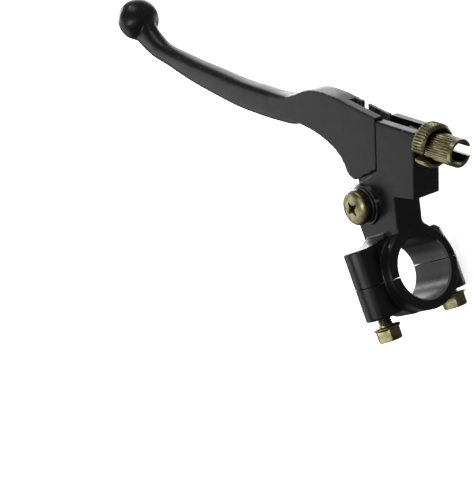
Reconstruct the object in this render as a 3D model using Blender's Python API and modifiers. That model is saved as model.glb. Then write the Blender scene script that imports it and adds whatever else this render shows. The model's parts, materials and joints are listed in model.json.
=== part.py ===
"""Clutch lever and handlebar perch for a 22.2 mm bar, with a slotted cable adjuster.

Frame: the origin is the centre of the handlebar clamp bore. +X runs along the bar
towards the cable adjuster, +Y forward from the bar to the lever, +Z up along the
lever's pivot. Sizes are written in millimetres and multiplied by MM.
"""

import math

import bmesh
import bpy
from mathutils import Matrix, Vector

MM = 0.001
GAP = 0.3 * MM                      # clearance left between two pieces that touch

# Handlebar clamp
BAR_RADIUS = 11.1 * MM
CLAMP_HALF_WIDTH = 10.0 * MM
RING_RADIUS = 15.0 * MM
SPLIT_GAP = 0.6 * MM
BOLT_X = -0.8 * MM
BOLT_Z = {1: 15.8 * MM, -1: -16.1 * MM}     # the bolt lines above and below the bar
BOSS_RADIUS = 6.1 * MM
UPPER_BOSS_TOP = {1: 12.9 * MM, -1: 12.0 * MM}
BOSS_TAPER = 0.22                   # how fast the upper boss below the bar narrows
DOME_RADIUS = 2.4 * MM
WEB_SETBACK = 0.6 * MM
TAPERED_WEB_END = (-13.6 * MM, 10.6 * MM)   # Z and Y where the web meets that boss
LOWER_BOSS_BOTTOM = -12.0 * MM
LOWER_WEB_BOTTOM = -11.85 * MM
FLANGE_ROOM = 5.5 * MM              # the web stays clear of a bolt's flange this far out

# Clamp bolts, M5 with a hexagon flange head
BOLT_RADIUS = 2.5 * MM
BOLT_TIP = {1: 8.5 * MM, -1: 6.0 * MM}
BOLT_ROOM = {1: 3.3 * MM, -1: 2.0 * MM}      # thread left in each hole beyond the tip
HEX_ACROSS_FLATS = 8.0 * MM
HEX_HEIGHT = 4.0 * MM
FLANGE_RADIUS = 5.0 * MM
FLANGE_THICKNESS = 1.2 * MM
UPPER_BOLT_SEAT = -15.1 * MM
LOWER_BOLT_SEAT = -13.4 * MM

# Perch body
PERCH_TOP = 5.6 * MM
PERCH_BOTTOM = -6.0 * MM
SLOT_TOP = 2.1 * MM
SLOT_BOTTOM = -2.9 * MM
BLOCK_ANGLE = math.radians(26.95)   # the cable line drops this far from +X towards -Y
JOINT_A = -8.1 * MM
REAR_JOINT_A = -9.9 * MM            # the cheek under the lever reaches further
FACE_A = 10.3 * MM
BLOCK_TOP_F = 54.6 * MM
BLOCK_FOOT_F = 31.1 * MM
JOINT_FOOT_F = 36.6 * MM
FOOT_LINE_SLOPE = 0.688             # from the joint's foot back to the pivot's cheek
NECK_LEFT_X = -10.2 * MM
NECK_RIGHT_X = 9.85 * MM
NECK_ROOT_Y = 8.0 * MM

# Lever pivot, an M6 pan head screw through a bush, with a nut below
PIVOT_X = -2.3 * MM
PIVOT_Y = 26.8 * MM
CHEEK_RADIUS = 7.9 * MM
PAD_RADIUS = 7.35 * MM
PAD_TOP_RADIUS = 7.0 * MM
PAD_HEIGHT = 1.2 * MM
WASHER_RADIUS = 6.6 * MM
WASHER_THICKNESS = 1.0 * MM
SCREW_RADIUS = 3.0 * MM
HEAD_RADIUS = 6.25 * MM
HEAD_HEIGHT = 3.9 * MM
NUT_ACROSS_FLATS = 10.0 * MM
NUT_HEIGHT = 5.0 * MM
SCREW_STICKOUT = 1.2 * MM
BUSH_RADIUS = 4.6 * MM

# Lever
LEVER_TOP = 5.6 * MM
LEVER_BOTTOM = -2.4 * MM
LEVER_GAP = 0.4 * MM
TONGUE_TOP = SLOT_TOP - GAP
TONGUE_BOTTOM = SLOT_BOTTOM + GAP
TONGUE_RADIUS = 6.6 * MM
BALL_RADIUS = 8.75 * MM
BLADE_FLATNESS = 0.82               # blade height over blade width

# Cable slot and nipple pocket in the lever
CABLE_F = 50.0 * MM
CABLE_Z = -0.2 * MM
CABLE_SLOT_TOP = 2.0 * MM
CABLE_SLOT_BOTTOM = -1.0 * MM
POCKET_A = -20.8 * MM
POCKET_RADIUS = 4.2 * MM
POCKET_TOP = 3.2 * MM
SLIT_WIDTH = 3.4 * MM

# Cable adjuster, M8, and its lock ring
THREAD_RADIUS = 3.9 * MM
THREAD_START_A = 2.0 * MM
BARREL_START_A = 13.2 * MM
BARREL_END_A = 26.0 * MM
BARREL_RADIUS = 4.8 * MM
SOCKET_RADIUS = 3.7 * MM
SOCKET_DEPTH = 10.5 * MM
WIRE_BORE_RADIUS = 1.3 * MM
ADJUSTER_SLOT = 3.2 * MM
WIRE_SLOT = 2.0 * MM
RING_START_A = 10.6 * MM
RING_END_A = 16.0 * MM
LOCK_RING_RADIUS = 7.5 * MM
RING_CHAMFER = 0.9 * MM
RING_RECESS_RADIUS = 5.8 * MM
RING_RECESS_A = 12.9 * MM
RING_SLOT_TILT = math.radians(21.0)

ALONG = Vector((math.cos(BLOCK_ANGLE), -math.sin(BLOCK_ANGLE), 0.0))
AHEAD = Vector((math.sin(BLOCK_ANGLE), math.cos(BLOCK_ANGLE), 0.0))
PIVOT = Vector((PIVOT_X, PIVOT_Y, 0.0))
CUT_THROUGH = 40.0 * MM             # longer than any wall that a cutter passes


# ---------------------------------------------------------------- scene set-up

def clear_scene():
    for existing in list(bpy.data.objects):
        bpy.data.objects.remove(existing, do_unlink=True)


def new_collection(name):
    collection = bpy.data.collections.new(name)
    bpy.context.scene.collection.children.link(collection)
    return collection


def material(name, colour, roughness, metallic):
    made = bpy.data.materials.new(name)
    made.use_nodes = True
    shader = made.node_tree.nodes["Principled BSDF"]
    shader.inputs["Base Color"].default_value = (*colour, 1.0)
    shader.inputs["Roughness"].default_value = roughness
    shader.inputs["Metallic"].default_value = metallic
    return made


def add_object(name, mesh, collection):
    made = bpy.data.objects.new(name, mesh)
    collection.objects.link(made)
    return made


def as_tool(tool):
    """Mark an object as a cutter or a joining piece, which is not a part."""
    tool.hide_render = True
    tool.display_type = "WIRE"
    return tool


def dress(piece, finish):
    piece.data.materials.clear()
    piece.data.materials.append(finish)
    piece.data.shade_smooth()
    piece.data.set_sharp_from_angle(angle=math.radians(35.0))
    return piece


# ---------------------------------------------------------------- shape helpers

def block_point(a, f):
    """A point of the plan given along and ahead of the cable line's own axes."""
    place = ALONG * a + AHEAD * f
    return (place.x, place.y)


def arc(centre, radius, start_degrees, end_degrees, steps):
    points = []
    for step in range(steps + 1):
        angle = math.radians(start_degrees + (end_degrees - start_degrees) * step / steps)
        points.append((centre[0] + radius * math.cos(angle), centre[1] + radius * math.sin(angle)))
    return points


def curve_to_mesh(curve_object, name, collection):
    depsgraph = bpy.context.evaluated_depsgraph_get()
    mesh = bpy.data.meshes.new_from_object(curve_object.evaluated_get(depsgraph))
    welded = bmesh.new()
    welded.from_mesh(mesh)
    bmesh.ops.remove_doubles(welded, verts=welded.verts, dist=0.01 * MM)
    bmesh.ops.recalc_face_normals(welded, faces=welded.faces)
    welded.to_mesh(mesh)
    welded.free()
    made = add_object(name, mesh, collection)
    made.matrix_world = curve_object.matrix_world.copy()
    bpy.data.objects.remove(curve_object, do_unlink=True)
    return made


def flat_curve(name, thickness, collection):
    data = bpy.data.curves.new(name, "CURVE")
    data.dimensions = "2D"
    data.fill_mode = "BOTH"
    data.extrude = thickness / 2
    return data, add_object(name + ".outline", data, collection)


def plate(name, outline, low, high, collection):
    """A flat plate with a straight-sided outline, between two heights."""
    data, outline_object = flat_curve(name, high - low, collection)
    spline = data.splines.new("POLY")
    spline.points.add(len(outline) - 1)
    for point, (x, y) in zip(spline.points, outline):
        point.co = (x, y, 0.0, 1.0)
    spline.use_cyclic_u = True
    outline_object.location.z = (low + high) / 2
    bpy.context.view_layer.update()
    return curve_to_mesh(outline_object, name, collection)


def smooth_plate(name, outline, low, high, steps, collection):
    """A flat plate whose outline runs smoothly through its points, apart from corners."""
    data, outline_object = flat_curve(name, high - low, collection)
    data.resolution_u = steps
    spline = data.splines.new("BEZIER")
    spline.bezier_points.add(len(outline) - 1)
    for point, (x, y, kind) in zip(spline.bezier_points, outline):
        point.co = (x * MM, y * MM, 0.0)
        handle = "VECTOR" if kind == "corner" else "AUTO"
        point.handle_left_type = handle
        point.handle_right_type = handle
    spline.use_cyclic_u = True
    outline_object.location.z = (low + high) / 2
    bpy.context.view_layer.update()
    return curve_to_mesh(outline_object, name, collection)


def side_plate(name, outline, low, high, collection):
    """A plate drawn in the Z and Y directions and standing between two X values."""
    made = plate(name, outline, -high, -low, collection)
    made.data.transform(made.matrix_world)
    made.matrix_world = Matrix.Identity(4)
    made.data.transform(Matrix.Rotation(math.radians(-90.0), 4, "Y"))
    return made


def rod(name, radius, start, end, sides, collection, top_radius=None):
    """A cylinder or a cone between two points."""
    start = Vector(start)
    span = Vector(end) - start
    body = bmesh.new()
    bmesh.ops.create_cone(
        body,
        cap_ends=True,
        segments=sides,
        radius1=radius,
        radius2=radius if top_radius is None else top_radius,
        depth=span.length,
    )
    turn = Vector((0, 0, 1)).rotation_difference(span.normalized()).to_matrix().to_4x4()
    place = Matrix.Translation(start + span / 2) @ turn
    mesh = bpy.data.meshes.new(name)
    body.to_mesh(mesh)
    body.free()
    mesh.transform(place)
    return add_object(name, mesh, collection)


def hexagon(name, across_flats, start, end, collection):
    return rod(name, across_flats / math.sqrt(3.0), start, end, 6, collection)


def box(name, centre, size, collection, turn=0.0):
    body = bmesh.new()
    bmesh.ops.create_cube(body, size=1.0)
    mesh = bpy.data.meshes.new(name)
    body.to_mesh(mesh)
    body.free()
    mesh.transform(Matrix.Diagonal((*size, 1.0)))
    mesh.transform(Matrix.Rotation(turn, 4, "Z"))
    mesh.transform(Matrix.Translation(centre))
    return add_object(name, mesh, collection)


def turned(name, profile, steps, collection, hollow=True):
    """A profile of (radius, height) points spun about +Z, in its own frame.

    A hollow piece's profile is a closed loop; a solid one's starts and ends on the axis.
    """
    mesh = bpy.data.meshes.new(name)
    vertices = [(radius, 0.0, height) for radius, height in profile]
    edges = [(i, i + 1) for i in range(len(profile) - 1)]
    if hollow:
        edges.append((len(profile) - 1, 0))
    mesh.from_pydata(vertices, edges, [])
    made = add_object(name, mesh, collection)
    spin = made.modifiers.new("Spin", "SCREW")
    spin.axis = "Z"
    spin.steps = steps
    spin.render_steps = steps
    spin.use_merge_vertices = True
    spin.merge_threshold = 0.01 * MM
    spin.use_normal_calculate = False
    return made


def combine(target, tool, operation):
    change = target.modifiers.new(operation.title() + " " + tool.name, "BOOLEAN")
    change.operation = operation
    change.solver = "EXACT"
    change.object = as_tool(tool)
    return target


def cut(target, tool):
    return combine(target, tool, "DIFFERENCE")


def join(target, tool):
    return combine(target, tool, "UNION")


def soften(target, width, segments):
    """Round a plate's sharp edges before anything is cut from it."""
    rounding = target.modifiers.new("Edge rounding", "BEVEL")
    rounding.width = width
    rounding.segments = segments
    rounding.limit_method = "ANGLE"
    rounding.angle_limit = math.radians(50.0)
    return target


def aim_along_cable(piece, a=0.0):
    """Turn a turned piece's own Z onto the cable line and stand it at a along it."""
    turn = Vector((0, 0, 1)).rotation_difference(ALONG).to_matrix().to_4x4()
    place = ALONG * a + AHEAD * CABLE_F + Vector((0, 0, CABLE_Z))
    piece.matrix_world = Matrix.Translation(place) @ turn
    return piece


def hang_on(piece, axis_empty):
    piece.parent = axis_empty
    piece.matrix_parent_inverse = axis_empty.matrix_world.inverted()
    return piece


def axis_marker(name, place, collection):
    marker = add_object(name, None, collection)
    marker.location = place
    bpy.context.view_layer.update()
    return marker


# ---------------------------------------------------------------- clamp halves

def web_outline(sign, past_split):
    """One half's web seen along the bar, from the bolt below the bar to the one above."""
    shoulder_y = sign * RING_RADIUS * 0.965
    if sign > 0:
        below_bar = [(TAPERED_WEB_END[0], past_split), TAPERED_WEB_END]
        above_bar = [(BOLT_Z[1], UPPER_BOSS_TOP[1])]
    else:
        below_bar = [
            (BOLT_Z[-1], past_split),
            (BOLT_Z[-1], LOWER_WEB_BOTTOM),
            (BOLT_Z[-1] + FLANGE_ROOM, LOWER_WEB_BOTTOM),
        ]
        above_bar = [(BOLT_Z[1] - FLANGE_ROOM, LOWER_WEB_BOTTOM), (BOLT_Z[1], LOWER_WEB_BOTTOM)]
    shoulders = [(BOLT_Z[-1] * 0.4, shoulder_y), (BOLT_Z[1] * 0.4, shoulder_y)]
    return [*below_bar, *shoulders, *above_bar, (BOLT_Z[1], past_split)]


def clamp_half(name, sign, parts, tools):
    """One half of the clamp: half a ring with a bolt boss at each side."""
    split = 0.0 if sign > 0 else -SPLIT_GAP
    boss_ends = UPPER_BOSS_TOP if sign > 0 else {1: LOWER_BOSS_BOTTOM, -1: LOWER_BOSS_BOTTOM}
    past_split = -sign * 2.0 * MM
    half = rod(name, RING_RADIUS, (-CLAMP_HALF_WIDTH, 0, 0), (CLAMP_HALF_WIDTH, 0, 0), 48, parts)
    soften(half, 0.7 * MM, 1)
    web_half = BOSS_RADIUS - WEB_SETBACK
    outline = web_outline(sign, past_split)
    web = side_plate(name + ".web", outline, BOLT_X - web_half, BOLT_X + web_half, tools)
    join(half, web)
    for side in (-1, 1):
        tapered = side < 0 < sign
        taper = BOSS_TAPER if tapered else 0.0
        foot_y = 1.5 * past_split
        boss = rod(
            name + ".boss" + str(side),
            BOSS_RADIUS - taper * foot_y,
            (BOLT_X, foot_y, BOLT_Z[side]),
            (BOLT_X, boss_ends[side], BOLT_Z[side]),
            24,
            tools,
            top_radius=BOSS_RADIUS - taper * boss_ends[side],
        )
        if tapered:
            soften(boss, DOME_RADIUS, 3)
        else:
            soften(boss, 0.8 * MM, 1)
        join(half, boss)
    return half, split


def finish_clamp_half(half, sign, split, tools):
    """Cut away the other side of the split, the bar's bore and the bolt holes."""
    waste_centre = (0, split - sign * CUT_THROUGH / 2, 0)
    waste = box(half.name + ".waste", waste_centre, [CUT_THROUGH] * 3, tools)
    waste.data.transform(Matrix.Diagonal((2, 1, 2, 1)))
    cut(half, waste)
    bore = rod(half.name + ".bore", BAR_RADIUS, (-CUT_THROUGH, 0, 0), (CUT_THROUGH, 0, 0), 48, tools)
    cut(half, bore)
    for side in (-1, 1):
        end = BOLT_TIP[side] + BOLT_ROOM[side] if sign > 0 else -CUT_THROUGH
        hole = rod(
            half.name + ".hole" + str(side),
            BOLT_RADIUS + GAP,
            (BOLT_X, -sign * CUT_THROUGH, BOLT_Z[side]),
            (BOLT_X, end, BOLT_Z[side]),
            20,
            tools,
        )
        cut(half, hole)


def clamp_bolt(name, side, seat, parts, tools):
    """An M5 bolt: flange, hexagon and shank, drawn up from below the cap."""
    flange_low = seat - FLANGE_THICKNESS
    bolt = rod(
        name,
        FLANGE_RADIUS,
        (BOLT_X, flange_low, BOLT_Z[side]),
        (BOLT_X, seat, BOLT_Z[side]),
        28,
        parts,
        top_radius=FLANGE_RADIUS * 0.97,
    )
    hex_end = flange_low - HEX_HEIGHT
    head = hexagon(
        name + ".hex",
        HEX_ACROSS_FLATS,
        (BOLT_X, hex_end, BOLT_Z[side]),
        (BOLT_X, flange_low + 0.2 * MM, BOLT_Z[side]),
        tools,
    )
    join(bolt, head)
    shank = rod(
        name + ".shank",
        BOLT_RADIUS,
        (BOLT_X, seat - 0.2 * MM, BOLT_Z[side]),
        (BOLT_X, BOLT_TIP[side], BOLT_Z[side]),
        20,
        tools,
    )
    join(bolt, shank)
    return bolt


# ---------------------------------------------------------------- perch

def foot_line_f(a):
    """How far ahead the joint's foot line lies, where it is a along the cable line."""
    return JOINT_FOOT_F + FOOT_LINE_SLOPE * (a - JOINT_A)


def perch_outline():
    foot_corner = block_point(FACE_A, BLOCK_FOOT_F)
    left_side = arc((PIVOT_X, PIVOT_Y), CHEEK_RADIUS, 180.0, 102.0, 8)
    return [
        (NECK_LEFT_X, NECK_ROOT_Y),
        *left_side,
        block_point(REAR_JOINT_A, foot_line_f(REAR_JOINT_A)),
        block_point(REAR_JOINT_A, BLOCK_TOP_F),
        block_point(FACE_A, BLOCK_TOP_F),
        foot_corner,
        (13.6 * MM, 26.0 * MM),
        (NECK_RIGHT_X, 15.2 * MM),
        (NECK_RIGHT_X, NECK_ROOT_Y),
    ]


def front_cheek_outline():
    """What the front cheek lacks of the rear one, on the lever's side of the joint."""
    far_a = JOINT_A - 4.0 * MM
    return [
        block_point(JOINT_A, JOINT_FOOT_F),
        block_point(JOINT_A, BLOCK_TOP_F + 5.0 * MM),
        block_point(far_a, BLOCK_TOP_F + 5.0 * MM),
        block_point(far_a, foot_line_f(far_a) + 0.3 * MM),
    ]


def tongue_slot_outline():
    """The slot between the cheeks, open ahead and on the lever's side."""
    behind_tongue = arc((PIVOT_X, PIVOT_Y), TONGUE_RADIUS + 1.0 * MM, -90.0, 0.0, 8)
    return [
        (PIVOT_X - CUT_THROUGH, behind_tongue[0][1]),
        *behind_tongue,
        block_point(-0.5 * MM, 37.0 * MM),
        block_point(1.5 * MM, CABLE_F - 3.0 * MM),
        block_point(FACE_A + 5.0 * MM, CABLE_F - 3.0 * MM),
        block_point(FACE_A + 5.0 * MM, BLOCK_TOP_F + 5.0 * MM),
        block_point(-CUT_THROUGH, BLOCK_TOP_F + 5.0 * MM),
    ]


def make_perch(parts, tools):
    perch, split = clamp_half("perch_body", 1, parts, tools)
    arm = plate("perch.arm", perch_outline(), PERCH_BOTTOM, PERCH_TOP, tools)
    join(perch, arm)
    for side, face in ((-1, PERCH_BOTTOM), (1, PERCH_TOP)):
        pad = rod(
            "perch.pad" + str(side),
            PAD_RADIUS,
            PIVOT + Vector((0, 0, face - side * 0.5 * MM)),
            PIVOT + Vector((0, 0, face + side * PAD_HEIGHT)),
            40,
            tools,
            top_radius=PAD_TOP_RADIUS,
        )
        join(perch, pad)
    finish_clamp_half(perch, 1, split, tools)
    slot = plate("perch.slot", tongue_slot_outline(), SLOT_BOTTOM, SLOT_TOP, tools)
    cut(perch, slot)
    front_step = plate("perch.front_step", front_cheek_outline(), 0.0, CUT_THROUGH, tools)
    cut(perch, front_step)
    thread_hole = rod(
        "perch.adjuster_hole",
        THREAD_RADIUS + GAP,
        cable_place(JOINT_A + 7.0 * MM),
        cable_place(FACE_A + 5.0 * MM),
        28,
        tools,
    )
    cut(perch, thread_hole)
    screw_hole = rod(
        "perch.screw_hole",
        SCREW_RADIUS + GAP,
        PIVOT - Vector((0, 0, CUT_THROUGH)),
        PIVOT + Vector((0, 0, CUT_THROUGH)),
        24,
        tools,
    )
    cut(perch, screw_hole)
    return perch


def cable_place(a):
    return ALONG * a + AHEAD * CABLE_F + Vector((0, 0, CABLE_Z))


# ---------------------------------------------------------------- lever

# Plan of the head plate in millimetres, from the joint's top corner round to its foot
LEVER_HEAD_OUTLINE = [
    (4.6, 62.2, "smooth"),
    (-2.9, 67.3, "smooth"),
    (-13.0, 71.9, "smooth"),
    (-26.2, 73.1, "smooth"),
    (-36.0, 75.5, "corner"),
    (-40.0, 69.0, "corner"),
    (-24.2, 61.8, "smooth"),
    (-14.2, 54.4, "smooth"),
    (-8.0, 46.4, "smooth"),
    (-6.7, 39.0, "smooth"),
    (-4.2, 36.0, "corner"),
]

# Centre line of the blade in millimetres, from the head to the ball, with its half width
BLADE_CENTRES = [
    (-17.0, 66.5, 4.6),
    (-26.9, 67.8, 5.5),
    (-35.4, 71.0, 5.4),
    (-44.3, 75.3, 5.5),
    (-57.8, 82.4, 5.5),
    (-71.2, 90.7, 5.3),
    (-85.1, 99.7, 4.9),
    (-99.5, 109.9, 4.3),
    (-106.2, 115.6, 4.3),
    (-111.3, 122.2, 4.6),
    (-113.9, 127.6, 5.2),
]
BALL_CENTRE = Vector((-115.1 * MM, 130.8 * MM, (LEVER_TOP + LEVER_BOTTOM) / 2))


def lever_head_outline():
    joint = JOINT_A - LEVER_GAP
    top = block_point(joint, BLOCK_TOP_F + 0.8 * MM)
    foot = block_point(joint, JOINT_FOOT_F + 0.7 * MM)
    corners = [
        (foot[0] / MM, foot[1] / MM, "corner"),
        (top[0] / MM, top[1] / MM, "corner"),
    ]
    return corners + LEVER_HEAD_OUTLINE


def lever_tongue_outline():
    """The thinner eye that reaches between the perch's cheeks to the pivot."""
    round_eye = arc((PIVOT_X, PIVOT_Y), TONGUE_RADIUS, 160.0, 362.0, 18)
    return [
        *round_eye,
        block_point(-4.5 * MM, 39.5 * MM),
        block_point(-4.5 * MM, CABLE_F - 4.5 * MM),
        block_point(JOINT_A - 3.0 * MM, CABLE_F - 3.5 * MM),
        (-3.0 * MM, 50.0 * MM),
        (-6.0 * MM, 40.0 * MM),
    ]


def make_blade(tools):
    """The swept blade: a tube of varying width, flattened a little in height."""
    data = bpy.data.curves.new("lever.blade", "CURVE")
    data.dimensions = "3D"
    data.bevel_depth = 1.0 * MM
    data.bevel_resolution = 4
    data.use_fill_caps = True
    data.resolution_u = 5
    spline = data.splines.new("BEZIER")
    spline.bezier_points.add(len(BLADE_CENTRES) - 1)
    for point, (x, y, half_width) in zip(spline.bezier_points, BLADE_CENTRES):
        point.co = (x * MM, y * MM, 0.0)
        point.radius = half_width
        point.handle_left_type = "AUTO"
        point.handle_right_type = "AUTO"
    line = add_object("lever.blade_line", data, tools)
    blade = curve_to_mesh(line, "lever.blade", tools)
    blade.data.transform(Matrix.Diagonal((1.0, 1.0, BLADE_FLATNESS, 1.0)))
    blade.data.transform(Matrix.Translation((0, 0, BALL_CENTRE.z)))
    return blade


def make_ball(tools):
    body = bmesh.new()
    bmesh.ops.create_uvsphere(body, u_segments=28, v_segments=18, radius=BALL_RADIUS)
    mesh = bpy.data.meshes.new("lever.ball")
    body.to_mesh(mesh)
    body.free()
    mesh.transform(Matrix.Translation(BALL_CENTRE))
    return add_object("lever.ball", mesh, tools)


def make_lever(parts, tools):
    lever = smooth_plate("lever_blade", lever_head_outline(), LEVER_BOTTOM, LEVER_TOP, 5, parts)
    cable_slot_outline = [
        block_point(JOINT_A + CUT_THROUGH, CABLE_F - 2.0 * MM),
        block_point(POCKET_A, CABLE_F - 2.0 * MM),
        block_point(POCKET_A - 3.6 * MM, CABLE_F),
        block_point(POCKET_A - 6.2 * MM, BLOCK_TOP_F + 9.0 * MM),
        block_point(JOINT_A + CUT_THROUGH, BLOCK_TOP_F + 9.0 * MM),
    ]
    cable_slot = plate(
        "lever.cable_slot", cable_slot_outline, CABLE_SLOT_BOTTOM, CABLE_SLOT_TOP, tools
    )
    cut(lever, cable_slot)
    pocket_centre = cable_place(POCKET_A)
    pocket = rod(
        "lever.pocket",
        POCKET_RADIUS,
        (pocket_centre.x, pocket_centre.y, -CUT_THROUGH),
        (pocket_centre.x, pocket_centre.y, POCKET_TOP),
        28,
        tools,
    )
    cut(lever, pocket)
    slit_length = 14.0 * MM
    slit_centre = pocket_centre + AHEAD * (slit_length / 2)
    slit = box(
        "lever.slit",
        Vector((0, 0, 0)),
        (SLIT_WIDTH, slit_length, 8.0 * MM),
        tools,
        turn=-BLOCK_ANGLE,
    )
    slit.data.transform(Matrix.Translation((slit_centre.x, slit_centre.y, -3.0 * MM)))
    cut(lever, slit)
    join(lever, make_blade(tools))
    join(lever, make_ball(tools))
    tongue = plate("lever.tongue", lever_tongue_outline(), TONGUE_BOTTOM, TONGUE_TOP, tools)
    join(lever, tongue)
    bush_hole = rod(
        "lever.bush_hole",
        BUSH_RADIUS + GAP,
        PIVOT - Vector((0, 0, CUT_THROUGH)),
        PIVOT + Vector((0, 0, CUT_THROUGH)),
        28,
        tools,
    )
    cut(lever, bush_hole)
    return lever


def make_bush(parts):
    bore = SCREW_RADIUS + GAP
    profile = [
        (BUSH_RADIUS, TONGUE_TOP),
        (BUSH_RADIUS, TONGUE_BOTTOM),
        (bore, TONGUE_BOTTOM),
        (bore, TONGUE_TOP),
    ]
    bush = turned("pivot_bush", profile, 28, parts)
    bush.location = PIVOT
    return bush


# ---------------------------------------------------------------- pivot hardware

WASHER_LOW = PERCH_TOP + PAD_HEIGHT + GAP
HEAD_LOW = WASHER_LOW + WASHER_THICKNESS + GAP
NUT_TOP = PERCH_BOTTOM - PAD_HEIGHT - GAP


def make_pivot_screw(parts, tools):
    """Pan head with a cross recess, and a plain M6 shank down to below the nut."""
    top = HEAD_LOW + HEAD_HEIGHT
    tip = NUT_TOP - NUT_HEIGHT - SCREW_STICKOUT
    profile = [
        (0.0, top),
        (HEAD_RADIUS * 0.55, top - 0.25 * MM),
        (HEAD_RADIUS * 0.85, top - 1.0 * MM),
        (HEAD_RADIUS, top - 2.2 * MM),
        (HEAD_RADIUS, HEAD_LOW),
        (SCREW_RADIUS, HEAD_LOW),
        (SCREW_RADIUS, tip),
        (0.0, tip),
    ]
    screw = turned("pivot_screw", profile, 36, parts, hollow=False)
    screw.location = PIVOT
    for turn in (math.radians(20.0), math.radians(110.0)):
        arm = box(
            "screw.recess" + str(round(math.degrees(turn))),
            Vector((0, 0, 0)),
            (5.2 * MM, 1.1 * MM, 4.4 * MM),
            tools,
            turn=turn,
        )
        arm.location = PIVOT + Vector((0, 0, top))
        cut(screw, arm)
    return screw


def make_washer(parts):
    bore = SCREW_RADIUS + GAP
    top = WASHER_LOW + WASHER_THICKNESS
    profile = [
        (WASHER_RADIUS, top),
        (WASHER_RADIUS, WASHER_LOW),
        (bore, WASHER_LOW),
        (bore, top),
    ]
    washer = turned("pivot_washer", profile, 36, parts)
    washer.location = PIVOT
    return washer


def make_nut(parts, tools):
    nut = hexagon(
        "pivot_nut",
        NUT_ACROSS_FLATS,
        PIVOT + Vector((0, 0, NUT_TOP - NUT_HEIGHT)),
        PIVOT + Vector((0, 0, NUT_TOP)),
        parts,
    )
    hole = rod(
        "nut.hole",
        SCREW_RADIUS + GAP,
        PIVOT - Vector((0, 0, CUT_THROUGH)),
        PIVOT + Vector((0, 0, CUT_THROUGH)),
        24,
        tools,
    )
    return cut(nut, hole)


# ---------------------------------------------------------------- cable adjuster

def make_adjuster(parts, tools):
    """Hollow M8 stem and barrel with a slot along its underside."""
    socket_floor = BARREL_END_A - SOCKET_DEPTH
    profile = [
        (BARREL_RADIUS, BARREL_END_A),
        (BARREL_RADIUS, BARREL_START_A),
        (THREAD_RADIUS, BARREL_START_A),
        (THREAD_RADIUS, THREAD_START_A),
        (WIRE_BORE_RADIUS, THREAD_START_A),
        (WIRE_BORE_RADIUS, socket_floor),
        (SOCKET_RADIUS, socket_floor),
        (SOCKET_RADIUS, BARREL_END_A),
    ]
    adjuster = aim_along_cable(turned("cable_adjuster", profile, 36, parts))
    for name, width, start, end in (
        ("adjuster.slot", ADJUSTER_SLOT, socket_floor, BARREL_END_A + 5.0 * MM),
        ("adjuster.wire_slot", WIRE_SLOT, THREAD_START_A - 5.0 * MM, socket_floor + 1.0 * MM),
    ):
        depth = 10.0 * MM
        slot = box(
            name,
            Vector((0, 0, 0)),
            (end - start, width, depth),
            tools,
            turn=-BLOCK_ANGLE,
        )
        slot.location = cable_place((start + end) / 2) - Vector((0, 0, depth / 2))
        cut(adjuster, slot)
    return adjuster


def make_lock_ring(parts, tools):
    profile = [
        (LOCK_RING_RADIUS - RING_CHAMFER, RING_END_A),
        (LOCK_RING_RADIUS, RING_END_A - RING_CHAMFER),
        (LOCK_RING_RADIUS, RING_START_A),
        (THREAD_RADIUS + GAP, RING_START_A),
        (THREAD_RADIUS + GAP, RING_RECESS_A),
        (RING_RECESS_RADIUS, RING_RECESS_A),
        (RING_RECESS_RADIUS, RING_END_A),
    ]
    ring = aim_along_cable(turned("adjuster_lock_ring", profile, 44, parts))
    depth = 12.0 * MM
    slot = box(
        "ring.slot", Vector((0, 0, depth / 2)), (CUT_THROUGH, ADJUSTER_SLOT, depth), tools
    )
    slot.data.transform(Matrix.Rotation(RING_SLOT_TILT, 4, "X"))
    slot.data.transform(Matrix.Rotation(-BLOCK_ANGLE, 4, "Z"))
    slot.location = cable_place((RING_START_A + RING_END_A) / 2)
    return cut(ring, slot)


# ---------------------------------------------------------------- assembly

def main():
    clear_scene()
    parts = new_collection("clutch_lever")
    tools = new_collection("clutch_lever_cutters")

    black = material("black_casting", (0.012, 0.012, 0.013), 0.42, 0.0)
    lever_black = material("black_lever", (0.014, 0.014, 0.015), 0.38, 0.0)
    black_steel = material("black_washer", (0.02, 0.02, 0.02), 0.35, 0.6)
    olive_zinc = material("olive_zinc", (0.30, 0.27, 0.14), 0.32, 1.0)
    bright_steel = material("bush_steel", (0.45, 0.45, 0.44), 0.30, 1.0)

    perch = dress(make_perch(parts, tools), black)
    cap, split = clamp_half("clamp_cap", -1, parts, tools)
    finish_clamp_half(cap, -1, split, tools)
    dress(cap, black)

    bolts = [
        dress(clamp_bolt("clamp_bolt_upper", 1, UPPER_BOLT_SEAT, parts, tools), olive_zinc),
        dress(clamp_bolt("clamp_bolt_lower", -1, LOWER_BOLT_SEAT, parts, tools), olive_zinc),
    ]
    for bolt in bolts:
        bolt.parent = cap

    lever_axis = axis_marker("lever_pivot_axis", PIVOT, parts)
    hang_on(dress(make_lever(parts, tools), lever_black), lever_axis)
    bush = dress(make_bush(parts), bright_steel)
    bush.location = (0.0, 0.0, 0.0)
    bush.parent = lever_axis

    dress(make_pivot_screw(parts, tools), olive_zinc).parent = perch
    dress(make_washer(parts), black_steel).parent = perch
    dress(make_nut(parts, tools), olive_zinc).parent = perch

    dress(make_lock_ring(parts, tools), olive_zinc)
    dress(make_adjuster(parts, tools), olive_zinc)


main()
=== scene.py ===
"""Clutch lever on its handlebar perch: castings, pivot hardware, clamp bolts and adjuster.

Run as a script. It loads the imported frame, models each piece around it, dresses the
pieces in painted and plated finishes, and sets a pale studio floor, lights and camera.
"""

import json
import math

import bpy
from mathutils import Matrix, Vector


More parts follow.
